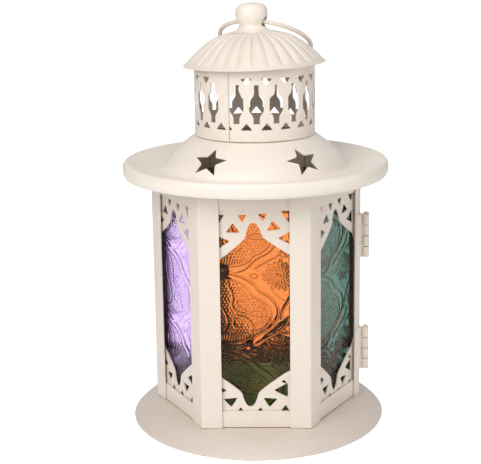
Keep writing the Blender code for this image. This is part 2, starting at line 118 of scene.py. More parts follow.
class ShaderTree:
    """Short ways to add nodes to one shader tree and join them."""

    def __init__(self, tree):
        self.tree = tree

    def join(self, value, socket):
        """Wire in another node's output, or set a plain value."""
        if isinstance(value, bpy.types.NodeSocket):
            self.tree.links.new(value, socket)
        else:
            socket.default_value = value

    def feed(self, node, **settings):
        """Set a node's properties and its sockets, both by name."""
        for key, value in settings.items():
            if hasattr(node, key):
                setattr(node, key, value)
            else:
                self.join(value, node.inputs[key.replace("_", " ")])
        return node

    def add(self, kind, **settings):
        return self.feed(self.tree.nodes.new("ShaderNode" + kind), **settings)

    def noise(self, **settings):
        """Noise that keeps its place on the piece."""
        place = self.add("TexCoord").outputs["Object"]
        return self.add("TexNoise", Vector=place, **settings).outputs["Fac"]

    def ranged(self, value, **limits):
        return self.add("MapRange", Value=value, **limits).outputs["Result"]

    def blend(self, factor, first, second):
        """From the first colour to the second."""
        mix = self.add("Mix", data_type="RGBA", Factor=factor, A=first, B=second)
        return mix.outputs["Result"]

    def bump(self, height, strength, distance):
        node = self.add("Bump", Strength=strength, Distance=distance, Height=height)
        return node.outputs["Normal"]

    def calc(self, operation, *values, clamp=False):
        node = self.add("Math", operation=operation, use_clamp=clamp)
        for value, socket in zip(values, node.inputs):
            self.join(value, socket)
        return node.outputs["Value"]


def effect(name, inputs, outputs):
    """A node group with named sockets: (name, socket kind, default)."""
    group = bpy.data.node_groups.new(name, "ShaderNodeTree")
    for title, kind, default in inputs:
        socket = group.interface.new_socket(title, in_out="INPUT", socket_type="NodeSocket" + kind)
        socket.default_value = default
    for title, kind in outputs:
        group.interface.new_socket(title, in_out="OUTPUT", socket_type="NodeSocket" + kind)
    given, result = [group.nodes.new("NodeGroup" + way) for way in ("Input", "Output")]
    return group, ShaderTree(group), given.outputs, result


def make_paint_film():
    """Sprayed enamel: cloudy thickness, orange peel and a little settled dust."""
    group, tree, given, result = effect(
        "paint_film",
        [("Paint", "Color", (0.8, 0.8, 0.8, 1)), ("Thin paint", "Color", (0.7, 0.6, 0.5, 1)),
         ("Roughness", "Float", 0.33), ("Dust", "Float", 0.3)],
        [("Color", "Color"), ("Roughness", "Float"), ("Height", "Float")])
    cloud = tree.noise(Scale=30.0, Detail=4.0, Roughness=0.6)
    thinness = tree.ranged(cloud, From_Min=0.45, From_Max=0.85, To_Max=0.5)
    tone = tree.blend(thinness, given["Paint"], given["Thin paint"])
    # Dust lies in patches on whatever faces up
    normal = tree.add("NewGeometry").outputs["Normal"]
    upness = tree.add("SeparateXYZ", Vector=normal).outputs["Z"]
    settled = tree.ranged(upness, From_Min=0.75)
    grit = tree.noise(Scale=210.0, Detail=6.0, Roughness=0.75)
    patchy = tree.ranged(grit, From_Min=0.48, From_Max=0.72)
    dust = tree.calc("MULTIPLY", tree.calc("MULTIPLY", settled, patchy), given["Dust"])
    dusty = tree.blend(dust, tone, (0.62, 0.57, 0.51, 1))
    # It dulls the gloss, and so do the clouds in the film
    dulled = tree.calc("MULTIPLY_ADD", dust, 0.35, given["Roughness"])
    smeared = tree.calc("MULTIPLY_ADD", cloud, 0.10, dulled)
    peel = tree.noise(Scale=700.0, Detail=2.0, Roughness=0.5)
    tree.feed(result, Color=dusty, Roughness=smeared, Height=peel)
    return group


def make_edge_highlight():
    """Painted highlight on proud rims and cut edges, in broken patches."""
    group, tree, given, result = effect(
        "painted_edge_highlight",
        [("Color", "Color", (0.8, 0.8, 0.8, 1)), ("Rubbed", "Color", (0.9, 0.9, 0.9, 1)),
         ("Amount", "Float", 0.35)],
        [("Color", "Color")])
    pointiness = tree.add("NewGeometry").outputs["Pointiness"]
    proud = tree.ranged(pointiness, From_Min=0.52, From_Max=0.60)
    broken = tree.noise(Scale=160.0, Detail=5.0, Roughness=0.7)
    patch = tree.ranged(broken, From_Min=0.35, From_Max=0.65, To_Min=0.2)
    highlight_mask = tree.calc("MULTIPLY", tree.calc("MULTIPLY", proud, patch), given["Amount"])
    tree.feed(result, Color=tree.blend(highlight_mask, given["Color"], given["Rubbed"]))
    return group


PAINT_FILM = make_paint_film()
EDGE_HIGHLIGHT = make_edge_highlight()
PEEL_DEEP = 0.012 * MM


def new_material(name):
    """A material, its shader tree and its main shader."""
    mat = bpy.data.materials.new(name)
    mat.use_nodes = True
    return mat, ShaderTree(mat.node_tree), mat.node_tree.nodes["Principled BSDF"]


def enamel(name, paint, thin, dust=0.3):
    """Semi-gloss ivory enamel over steel."""
    mat, tree, shader = new_material(name)
    film = tree.add("Group", node_tree=PAINT_FILM, Paint=(*paint, 1), Thin_paint=(*thin, 1),
                    Roughness=0.33, Dust=dust).outputs
    # Proud edges get a painted highlight, a little lighter than the paint
    highlighted = [min(1.0, c * 1.08) for c in paint]
    edges = tree.add("Group", node_tree=EDGE_HIGHLIGHT, Color=film["Color"], Rubbed=(*highlighted, 1),
                     Amount=0.35).outputs
    tree.feed(shader, Base_Color=edges["Color"], Roughness=film["Roughness"],
              Normal=tree.bump(film["Height"], 0.6, PEEL_DEEP), Coat_Weight=0.25,
              Coat_Roughness=0.18, Specular_IOR_Level=0.45)
    return mat


IVORY = enamel("ivory_enamel", (0.80, 0.715, 0.635), (0.76, 0.655, 0.56))


# A paler copy of the same enamel, for a painted highlight on the roof and the knob
LIT_IVORY = enamel("ivory_enamel_lit", (0.87, 0.79, 0.71), (0.80, 0.70, 0.61))
# A copy between the pale and the plain enamel, for painted light on the gallery under the cap
HALF_LIT_IVORY = enamel("ivory_enamel_half_lit", (0.835, 0.75, 0.67), (0.78, 0.68, 0.585))
# A darker copy of the same enamel for painted shade on the base, which also carries more dust
SHADED_DUSTY_IVORY = enamel("ivory_enamel_shaded_dusty", (0.71, 0.625, 0.55), (0.66, 0.56, 0.475), dust=0.5)


def set_down(name, data):
    """Put new data into the scene as an object."""
    obj = bpy.data.objects.new(name, data)
    bpy.context.scene.collection.objects.link(obj)
    return obj


def mesh_object(name, bm):
    mesh = bpy.data.meshes.new(name)
    bm.to_mesh(mesh)
    bm.free()
    return set_down(name, mesh)


def moved(bm, matrix):
    bmesh.ops.transform(bm, matrix=matrix, verts=bm.verts[:])
    return bm


def piece(name, bm, mat, body, nodes, sharp=35, matrix=None):
    """Finish a mesh, hang it on its body and let it stand for its CAD nodes."""
    bmesh.ops.recalc_face_normals(bm, faces=bm.faces[:])
    obj = mesh_object(name, moved(bm, matrix) if matrix else bm)
    obj.data.shade_smooth()
    obj.data.set_sharp_from_angle(angle=math.radians(sharp))
    obj.data.materials.append(mat)
    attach(obj, body)
    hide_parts(*nodes)
    return obj


rim_z = base_low.z
plateau = [(0.0, FOOT_Z), (40 * MM, FOOT_Z), (61.5 * MM, FOOT_Z)]
shoulder = smooth_curve(in_metres([(61.5, 10.0), (66.0, 9.1), (70.5, 6.9), (74.6, 3.9),
                                   (77.1, 1.7), (78.0, 0.75)]), 7)
rolled = arc((BASE_RADIUS - 0.75 * MM, rim_z + 0.75 * MM), 0.75 * MM, 0, -90, 6)
underside = smooth_curve(in_metres([(75.8, 0.75), (74.2, 2.7), (69.9, 6.0), (65.6, 8.2),
                                    (61.3, 9.2)]), 6)
base_line = [*plateau, *shoulder[1:], *rolled, (BASE_RADIUS - 2.2 * MM, rim_z), *underside,
             (0.0, 9.2 * MM)]
# The base wears the darker copy of the enamel: painted shade, with more dust
piece("base_plate_spun", spun(base_line, closed=False), SHADED_DUSTY_IVORY, "lantern", ["base_plate"])


# ---------------------------------------------------------------- Candle cup
# A pressed cup of bright zinc-plated steel, tacked to the middle of the base.
# Its lip is smoothed, and the flame has left soot on it in patches.

def bright_steel(name, tint, roughness, soot):
    """Thin plated steel with fine turning marks and patches of soot."""
    mat, tree, shader = new_material(name)
    place = tree.add("TexCoord").outputs["Object"]
    rings = tree.add("TexWave", wave_type="RINGS", rings_direction="Z", Vector=place,
                     Scale=420.0, Distortion=1.5).outputs["Fac"]
    bloom = tree.noise(Scale=90.0, Detail=6.0, Roughness=0.7)
    sooty = [c * (1 - soot) * 0.72 for c in tint]
    tree.feed(shader, Metallic=1.0, Base_Color=tree.blend(bloom, (*tint, 1), (*sooty, 1)),
              Roughness=tree.ranged(bloom, To_Min=roughness, To_Max=roughness + 0.25),
              Normal=tree.bump(rings, 0.3, 0.02 * MM))
    return mat


STEEL = bright_steel("zinc_plated_steel", (0.62, 0.60, 0.57), 0.28, 0.3)
cup_low, cup_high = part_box("candle_cup")
cup_radius = cup_high.x
cup_wall = 0.5 * MM
cup_lip = arc((cup_radius - 0.25 * MM, cup_high.z - 0.25 * MM), 0.25 * MM, 0, 180, 8)
cup_outline = [(0, cup_low.z), (cup_radius - 1.2 * MM, cup_low.z),
               *arc((cup_radius - 1.2 * MM, cup_low.z + 1.2 * MM), 1.2 * MM, -80, 0, 6), *cup_lip,
               (cup_radius - cup_wall, cup_low.z + 1.2 * MM),
               (cup_radius - 1.2 * MM, cup_low.z + cup_wall), (0, cup_low.z + cup_wall)]
piece("candle_cup_pressed", spun(cup_outline, 96, closed=False), STEEL, "lantern", ["candle_cup"])


# ---------------------------------------------------------------- Corner posts
# Six strips of sheet folded lengthwise to 120 degrees.  Their legs lap over the
# rails and the fretwork and are spot welded to them before the enamel is sprayed.

post_low, post_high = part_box("corner_post_front_left")
APOTHEM = -post_low.y
BODY_RADIUS = APOTHEM / math.cos(math.pi / 6)
SHEET = 0.8 * MM
FOLD_RADIUS = 1.6 * MM
POST_LEG = 12.0 * MM
POST_DOOR_LEG = 3.0 * MM
POST_HINGE_LEG = 7.0 * MM
POST_WIDE_LEG = 17.0 * MM
POSTS = {"right": 0, "back_right": 60, "back_left": 120, "left": 180, "front_left": 240,
         "front_right": 300}
FACES = {"front": -90, "front_right": -30, "back_right": 30, "back": 90, "back_left": 150,
         "front_left": 210}
DOOR_FACE = "back_right"


def on_face(angle, along, out):
    """A point in plan, from its place along a face and out from the lantern's axis."""
    turn = math.radians(angle)
    return (out * math.cos(turn) - along * math.sin(turn),
            out * math.sin(turn) + along * math.cos(turn))


def plate(outline, holes, bottom, top):
    """Flat plate with holes, extruded along Z."""
    bm = bmesh.new()
    loops = [outline, *holes]
    verts = [bm.verts.new((x, y, bottom)) for loop in loops for x, y in loop]
    flat = [[Vector((x, y, 0)) for x, y in loop] for loop in loops]
    for corners in tessellate_polygon(flat):
        bm.faces.new([verts[i] for i in corners])
    region = bmesh.ops.extrude_face_region(bm, geom=bm.faces[:])["geom"]
    raised = [item for item in region if isinstance(item, bmesh.types.BMVert)]
    bmesh.ops.translate(bm, verts=raised, vec=(0, 0, top - bottom))
    return bm


def soften(obj, width, segments=2, angle=30):
    """The enamel's rounding on cut edges."""
    edge = obj.modifiers.new("soft_edge", "BEVEL")
    edge.width = width
    edge.segments = segments
    edge.limit_method = "ANGLE"
    edge.angle_limit = math.radians(angle)
    edge.use_clamp_overlap = True
    return obj


def folded_post(name, angle):
    legs = [POST_DOOR_LEG if face % 360 == FACES[DOOR_FACE] else POST_LEG
            for face in (angle - 30, angle + 30)]
    if angle + 30 == FACES[DOOR_FACE]:
        legs[0] = POST_HINGE_LEG
    if angle - 30 == FACES["back_left"]:
        legs[0] = POST_WIDE_LEG
    fold = FOLD_RADIUS / math.cos(math.pi / 6)
    turn = math.radians(angle)
    center = ((BODY_RADIUS - fold) * math.cos(turn), (BODY_RADIUS - fold) * math.sin(turn))
    corner = BODY_RADIUS / 2
    back = APOTHEM - SHEET
    outline = [on_face(angle - 30, corner - legs[0], APOTHEM)]
    outline += arc(center, FOLD_RADIUS, angle - 30, angle + 30, 8)
    outline += [on_face(angle + 30, legs[1] - corner, APOTHEM),
                on_face(angle + 30, legs[1] - corner, back)]
    outline += arc(center, FOLD_RADIUS - SHEET, angle + 30, angle - 30, 8)
    outline += [on_face(angle - 30, corner - legs[0], back)]
    bm = plate(outline, [], post_low.z, post_high.z)
    obj = piece("folded_post_" + name, bm, IVORY, "lantern", ["corner_post_" + name])
    return soften(obj, 0.14 * MM)


for post_name, post_angle in POSTS.items():
    folded_post(post_name, post_angle)


# ---------------------------------------------------------------- Rails and lintel
# Plain guillotined strips between the posts, at the foot and under the roof, and
# the strip above the door.  They keep their fitted shape and get rounded paint edges.

def keep_shape(node, mat, width=0.12 * MM):
    obj = frame["nodes"][node]
    for spot in obj.material_slots:
        spot.material = mat
    obj.data.shade_smooth()
    soften(obj, width)


for node in frame["nodes"]:
    if node.startswith(("bottom_rail_", "top_rail_")) or node == "door_lintel":
        keep_shape(node, IVORY)


# ---------------------------------------------------------------- Fretwork
# Border strips stamped from sheet, one at the top and one upside down at the foot of
# each side: an ogee arch with three-cornered piercings, all with slightly soft corners.

FRET_TOP_APEX = FOOT_Z + 124.3 * MM
FRET_BOTTOM_APEX = FOOT_Z + 14.1 * MM
FRET_FRONT = -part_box("top_fretwork_front")[0].y
FRET_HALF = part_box("top_fretwork_front")[1].x
RAIL_FRONT = -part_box("top_rail_front")[0].y
PANE_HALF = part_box("glass_pane_front")[1].x
# How far each stamped pattern is off: sideways, upwards (mm) and turned (degrees)
PATTERN_PLACE = {
    "front": ((-0.8, -0.5, 3.3), (-3.4, -1.0, 0.0)),
    "front_right": ((2.3, 0.6, 4.0), (1.7, -1.5, -3.0)),
    "front_left": ((-4.6, 0.5, -2.5), (-4.8, 0.0, 0.0)),
    "back": ((0.9, 0.2, -1.2), (1.6, -0.4, 0.8)),
    "back_left": ((-1.4, 0.0, 0.9), (0.7, 0.3, -1.0))}
SQUARE_PATTERN = ((0.0, 0.0, 0.0), (0.0, 0.0, 0.0))


def placement(x, y, z, origin=(0, 0, 0)):
    """A matrix from its three axes and its origin."""
    matrix = Matrix((x, y, z)).transposed().to_4x4()
    matrix.translation = origin
    return matrix


def face_matrix(angle):
    """X runs along the face, Y is up, and Z points straight out of the lantern."""
    turn = math.radians(angle)
    out = Vector((math.cos(turn), math.sin(turn), 0))
    along = Vector((-math.sin(turn), math.cos(turn), 0))
    return placement(along, Vector((0, 0, 1)), out)


def rounded(corners, radius, steps=4):
    """Replace each corner of a polygon by a short curve."""
    line = []
    count = len(corners)
    for i, corner in enumerate(corners):
        here = Vector(corner)
        back = Vector(corners[i - 1]) - here
        ahead = Vector(corners[(i + 1) % count]) - here
        reach = min(radius, back.length * 0.45, ahead.length * 0.45)
        start, end = here + back.normalized() * reach, here + ahead.normalized() * reach
        for k in range(steps + 1):
            t = k / steps
            line.append(tuple(start * (1 - t) ** 2 + here * 2 * t * (1 - t) + end * t * t))
    return line


def turned(points, degrees):
    """Turn a stamped outline a little round the arch's tip."""
    spin = Matrix.Rotation(math.radians(degrees), 2)
    return [tuple(spin @ Vector(point)) for point in points]


def fret_arch():
    """Half of the ogee arch, from its tip outwards; heights from the tip, in mm."""
    side = [(0.0, 0.0), (1.3, -0.3), (2.4, -1.5), (3.3, -3.3), (4.0, -5.2), (4.4, -7.0),
            (5.3, -8.8), (7.2, -10.6), (10.0, -12.9), (14.5, -16.3), (19.7, -20.0),
            (22.5, -21.7)]
    return smooth_curve(side, 3)


def fret_holes(shift, turn, half):
    """Eight three-cornered piercings, kept off the strip's ends."""
    side = [
        [(3.1, 5.0), (8.6, 5.1), (5.8, 0.3)],
        [(7.5, -5.4), (16.0, -4.7), (11.2, 0.6)],
        [(15.8, 5.9), (24.5, 5.9), (20.6, -1.2)],
        [(13.6, -10.0), (21.9, -5.6), (21.9, -14.5)],
    ]
    both = side + [[(-x, y) for x, y in reversed(hole)] for hole in side]
    reach = half / MM - 1.0
    kept = [[(max(-reach, min(reach, x + shift)) - shift, y) for x, y in turned(hole, turn)]
            for hole in both]
    return [rounded(hole, 1.1) for hole in kept]


def stamped_fret(name, face, body, apex, upward, off, half, front):
    sign = 1 if upward else -1
    shift, rise, turn = off

    def place(points):
        return [((x + shift) * MM, apex + (rise + sign * y) * MM) for x, y in points]

    arch = fret_arch()
    left, right = -half / MM - shift, half / MM - shift
    outline = turned([(-x, y) for x, y in reversed(arch[1:])] + arch, turn * sign)
    outline += [(right, -24.8), (right, 9.5), (left, 9.5), (left, -24.8)]
    holes = [place(hole) for hole in fret_holes(shift, turn * sign, half)]
    bm = plate(place(outline), holes, front - SHEET, front)
    obj = piece(name + "_stamped", bm, IVORY, body, [name], matrix=face_matrix(FACES[face]))
    return soften(obj, 0.16 * MM)


for face_name in FACES:
    top_off, bottom_off = PATTERN_PLACE.get(face_name, SQUARE_PATTERN)
    if face_name == DOOR_FACE:
        strip, body, half, front = "door_{}_fretwork", "door", PANE_HALF, RAIL_FRONT
    else:
        strip, body, half, front = "{}_fretwork_" + face_name, "lantern", FRET_HALF, FRET_FRONT
    stamped_fret(strip.format("top"), face_name, body, FRET_TOP_APEX, True, top_off, half, front)
    stamped_fret(strip.format("bottom"), face_name, body, FRET_BOTTOM_APEX, False, bottom_off,
                 half, front)


# ---------------------------------------------------------------- Panes
# Rolled glass, 2.8 mm thick and coloured right through, one colour for each side.
# A roller pressed the paisley pattern into its outer face, so the relief is real.

TILE_WIDE, TILE_TALL = 58.0, 46.0
TILE_STEP = 0.25


def segment_distance(px, pz, line):
    """Distance from each grid point to a polyline."""
    nearest = np.full(px.shape, 1e9)
    for (ax, az), (bx, bz) in zip(line, line[1:]):
        dx, dz = bx - ax, bz - az
        t = np.clip(((px - ax) * dx + (pz - az) * dz) / max(dx * dx + dz * dz, 1e-9), 0, 1)
        nearest = np.minimum(nearest, (px - ax - t * dx) ** 2 + (pz - az - t * dz) ** 2)
    return np.sqrt(nearest)


def petal(center, turn, inner, outer, half):
    """Outline of one leaf-shaped petal."""
    spine = Vector((math.cos(turn), math.sin(turn)))
    side = Vector((-spine.y, spine.x))
    shape = [(0, 0), (0.35, 0.8), (0.65, 1.0), (0.9, 0.6), (1, 0), (0.9, -0.6), (0.65, -1.0),
             (0.35, -0.8)]
    points = [Vector(center) + spine * (inner + (outer - inner) * u) + side * half * v
              for u, v in shape]
    line = smooth_curve([tuple(p) for p in points], 3, closed=True)
    return [*line, line[0]]


def circle(center, radius, count=14):
    return arc(center, radius, 0, 360, count)


def paisley_strokes():
    """Every raised line of one repeat: (points, half width, height), in mm."""
    strokes = []

    def draw(points, width, height, steps=5):
        strokes.append((smooth_curve(points, steps), width, height))

    # The great teardrop's double outline, which runs into the next repeat below
    draw([(-28, 98.8), (-22, 97.0), (-16.4, 94.6), (-8.0, 91.9), (-1.3, 87.8), (2.2, 83.6),
          (7.2, 80.3), (11.9, 75.6), (13.4, 70.6), (11.8, 65.2), (7.1, 60.0), (0.3, 56.2),
          (-5.4, 50.9), (-11.7, 48.5), (-18.5, 47.9), (-28, 48.6)], 0.75, 0.70)
    draw([(-22.0, 92.0), (-15.9, 90.4), (-9.1, 88.5), (-4.6, 84.9), (-2.2, 80.9), (2.9, 77.8),
          (7.4, 74.3), (9.1, 69.3), (8.0, 64.3), (3.9, 60.3), (-0.8, 58.3)], 0.6, 0.55)
    # Its inner curl and the leaf across its middle
    draw([(-15.5, 86.5), (-13.4, 82.0), (-13.0, 77.8), (-13.4, 74.5), (-11.2, 71.4),
          (-7.8, 70.0), (-4.9, 69.4)], 0.55, 0.6)
    draw([(-4.6, 70.9), (-7.5, 73.0), (-10.1, 74.4), (-10.8, 76.8), (-8.7, 78.2), (-6.8, 77.0)],
         0.5, 0.55)
    draw([(-4.2, 70.0), (-0.5, 71.3), (3.0, 70.9), (6.2, 69.0), (3.0, 67.9), (-0.6, 68.2),
          (-4.2, 70.0)], 0.45, 0.5)
    # The small teardrop tucked under it
    draw([(-10.1, 67.6), (-12.6, 65.2), (-12.4, 62.0), (-9.7, 61.0), (-8.2, 63.0)], 0.5, 0.55)
    draw([(-10.6, 68.4), (-5.4, 67.0), (-2.7, 64.2), (-1.5, 60.6), (-1.9, 56.9), (-6.0, 53.6),
          (-12.0, 52.2), (-18.5, 52.2), (-26.0, 53.5)], 0.55, 0.6)
    draw([(-26.0, 57.0), (-19.0, 58.5), (-16.0, 63.5), (-17.5, 70.0), (-21.0, 76.0),
          (-22.0, 83.0)], 0.6, 0.6)
    # Radial ribs inside both outlines
    for i in range(15):
        turn = math.radians(-98 + i * 11.5)
        strokes.append(([(-0.6 + 5.6 * math.cos(turn), 68.4 + 6.2 * math.sin(turn)),
                         (-0.6 + 8.0 * math.cos(turn), 68.4 + 8.6 * math.sin(turn))], 0.38, 0.4))
    for i in range(13):
        x = -21.0 + i * 1.5
        strokes.append(([(x, 53.2 + 0.02 * (x + 12) ** 2), (x + 0.5, 55.9 + 0.02 * (x + 12) ** 2)],
                        0.36, 0.4))
    # The flower: a ring of beads and fourteen petals
    flower = (14.3, 92.6)
    strokes.append((circle(flower, 1.1, 10), 0.4, 0.5))
    for i in range(14):
        turn = math.radians(8 + i * 360 / 14)
        bead = (flower[0] + 2.9 * math.cos(turn), flower[1] + 2.9 * math.sin(turn))
        strokes.append(([bead, bead], 0.5, 0.45))
        tall = 9.6 if i % 2 else 8.4
        strokes.append((petal(flower, turn, 4.0, tall, 0.95), 0.32, 0.45))
    # Leaves between the flower and the next teardrop
    draw([(28.0, 84.0), (24.0, 82.6), (20.9, 79.6), (17.6, 74.8), (15.5, 70.5), (14.8, 66.5)],
         0.65, 0.6)
    draw([(19.0, 66.0), (16.5, 61.5), (12.0, 57.8), (6.0, 54.6), (0.5, 51.2)], 0.6, 0.55)
    draw([(17.0, 77.5), (13.5, 79.8), (10.0, 83.4)], 0.4, 0.35)
    for i, (x, z) in enumerate([(20.5, 72.5), (23.5, 76.0), (22.5, 66.5), (18.5, 57.5),
                                (24.5, 59.5), (12.0, 52.0), (4.5, 47.8), (-3.0, 46.6)]):
        strokes.append((petal((x, z), math.radians(50 * i), 0.0, 4.6, 1.3), 0.36, 0.45))
    return strokes


def paisley_dots():
    """Stipple that fills the teardrops, and fine grain on the open ground: (x, z, size, height)."""
    rng = np.random.default_rng(7)
    dots = []
    for row in range(19):
        for col in range(17):
            x = -26.0 + col * 2.0 + (row % 2) * 1.0 + rng.uniform(-0.25, 0.25)
            z = 57.5 + row * 1.75 + rng.uniform(-0.25, 0.25)
            edge = np.interp(z, [57, 60, 64, 69, 74, 78, 81, 85, 88, 90],
                             [-4, 2, 6, 7, 6, 1, -3.5, -6, -11, -16])
            if x < edge - 0.9:
                dots.append((x, z, 0.55, 0.46))
    for _ in range(300):
        dots.append((rng.uniform(-29, 29), rng.uniform(47, 93), rng.uniform(0.2, 0.32), 0.10))
    return dots


def pressed_tile():
    """Height of one repeat of the roller's pattern, in mm."""
    xs = np.arange(0, TILE_WIDE, TILE_STEP) - TILE_WIDE / 2
    zs = np.arange(0, TILE_TALL, TILE_STEP)
    grid_x, grid_z = np.meshgrid(xs, zs)
    height = np.zeros_like(grid_x)

    def stamp(line, width, tall):
        reach = width * 2.6
        points = np.array(line)
        for shift_x in (-TILE_WIDE, 0, TILE_WIDE):
            for shift_z in (-92.0, -46.0, 0.0, 46.0):
                low = points.min(0) + (shift_x, shift_z) - reach
                high = points.max(0) + (shift_x, shift_z) + reach
                cols = np.flatnonzero((xs > low[0]) & (xs < high[0]))
                rows = np.flatnonzero((zs > low[1]) & (zs < high[1]))
                if not len(cols) or not len(rows):
                    continue
                window = np.ix_(rows, cols)
                repeat = [(x + shift_x, z + shift_z) for x, z in line]
                away = segment_distance(grid_x[window], grid_z[window], repeat)
                height[window] = np.maximum(height[window], tall * np.exp(-(away / width) ** 2))

    for line, width, tall in paisley_strokes():
        stamp(line, width, tall)
    for x, z, size, tall in paisley_dots():
        stamp([(x, z), (x, z)], size, tall)
    return height


def flank_shade(height):
    """How much painted shade lies on the sloping sides of the pressed lines, most on undersides."""
    up = (np.roll(height, -1, 0) - np.roll(height, 1, 0)) / (2 * TILE_STEP)
    across = (np.roll(height, -1, 1) - np.roll(height, 1, 1)) / (2 * TILE_STEP)
    slope = np.hypot(up, across)
    under = np.clip(0.85 * up - 0.4 * across, 0, None)
    return np.clip(0.6 * slope + 1.9 * under - 0.06, 0, 1)


PRESSED = pressed_tile()
SHADED = flank_shade(PRESSED)
RELIEF_DEEP = 0.5 * MM
RELIEF_SCALE = 0.65


def sample_tile(tile, x, z):
    """Read the repeat at any place, with a smooth step between its grid points."""
    u = ((x + TILE_WIDE / 2) % TILE_WIDE) / TILE_STEP
    v = (z % TILE_TALL) / TILE_STEP
    rows, cols = tile.shape
    i, j = np.floor(u).astype(int), np.floor(v).astype(int)
    fu, fv = u - i, v - j
    i0, i1, j0, j1 = i % cols, (i + 1) % cols, j % rows, (j + 1) % rows
    return (tile[j0, i0] * (1 - fu) * (1 - fv) + tile[j0, i1] * fu * (1 - fv)
            + tile[j1, i0] * (1 - fu) * fv + tile[j1, i1] * fu * fv)


FILTER_TONE = 0.6


def coloured_glass(name, tint, shaded_line_color):
    """Glass coloured through, with painted shade on the sides of the pressed lines."""
    mat, tree, shader = new_material(name)
    flank = tree.add("Attribute", attribute_name="flank").outputs["Fac"]
    # The flank attribute darkens the tint towards the line colour: painted shade
    tone = tree.blend(tree.ranged(flank, From_Max=0.8), (*tint, 1), (*shaded_line_color, 1))
    seeds = tree.noise(Scale=260.0, Detail=3.0)
    tree.feed(shader, Base_Color=tone, Normal=tree.bump(seeds, 0.25, 0.08 * MM),
              Transmission_Weight=1.0, Roughness=0.03, IOR=1.28)
    # Light on its way to a surface crosses the pane as it would a plain coloured filter
    plain = tree.add("BsdfTransparent", Color=(*[c * FILTER_TONE for c in tint], 1))
    ray = tree.add("LightPath").outputs
    on_its_way = tree.calc("MAXIMUM", ray["Is Shadow Ray"], ray["Is Diffuse Ray"])
    either = tree.add("MixShader", Fac=on_its_way)
    tree.join(shader.outputs["BSDF"], either.inputs[1])
    tree.join(plain.outputs["BSDF"], either.inputs[2])
    tree.feed(mat.node_tree.nodes["Material Output"], Surface=either.outputs["Shader"])
    return mat


GLASS_TINTS = {
    "front": (0.80, 0.97, 0.29), "front_right": (0.76, 0.40, 0.27),
    "back_right": (0.14, 0.60, 0.74), "back": (1.0, 0.235, 0.19),
    "back_left": (1.0, 0.96, 1.0), "front_left": (0.76, 0.56, 1.0)}
# How much colour is left under the painted shade on the sides of the pressed lines; the others keep
# 0.75
LINE_SHADE = {"front": 0.2, "front_right": 0.2, "front_left": 0.62}
# Where each pane was cut from the rolled sheet, in mm along the pattern
PRINT_SHIFT = {"front": (0, 0), "front_right": (2, -6), "front_left": (2, 5.5),
               "back": (9, 17), "back_left": (-8, 30), "back_right": (5, 11)}


def ground_edge():
    """Cut and ground edge of a pane: dull and grained, and dark as painted shade."""
    mat, tree, shader = new_material("ground_glass_edge_shaded")
    grain = tree.noise(Scale=900.0, Detail=2.0)
    tone = tree.blend(grain, (0.10, 0.085, 0.075, 1), (0.22, 0.19, 0.17, 1))
    tree.feed(shader, Base_Color=tone, Roughness=0.85)
    return mat


SHADED_GROUND_EDGE = ground_edge()
GRID = 0.27 * MM
# The face shows between the posts; beside the hinges' narrow leg it shows further out
SHOWN_HALF, SHOWN_BY_HINGES = 20.6 * MM, 25.6 * MM
HIDDEN_COLUMNS = (-24.0 * MM, 26.3 * MM)
SHOWN_LOW, SHOWN_HIGH = FOOT_Z + 6 * MM, FOOT_Z + 131.4 * MM
# The two left panes came from a sheet that was pressed less deeply
SHALLOW = 0.5


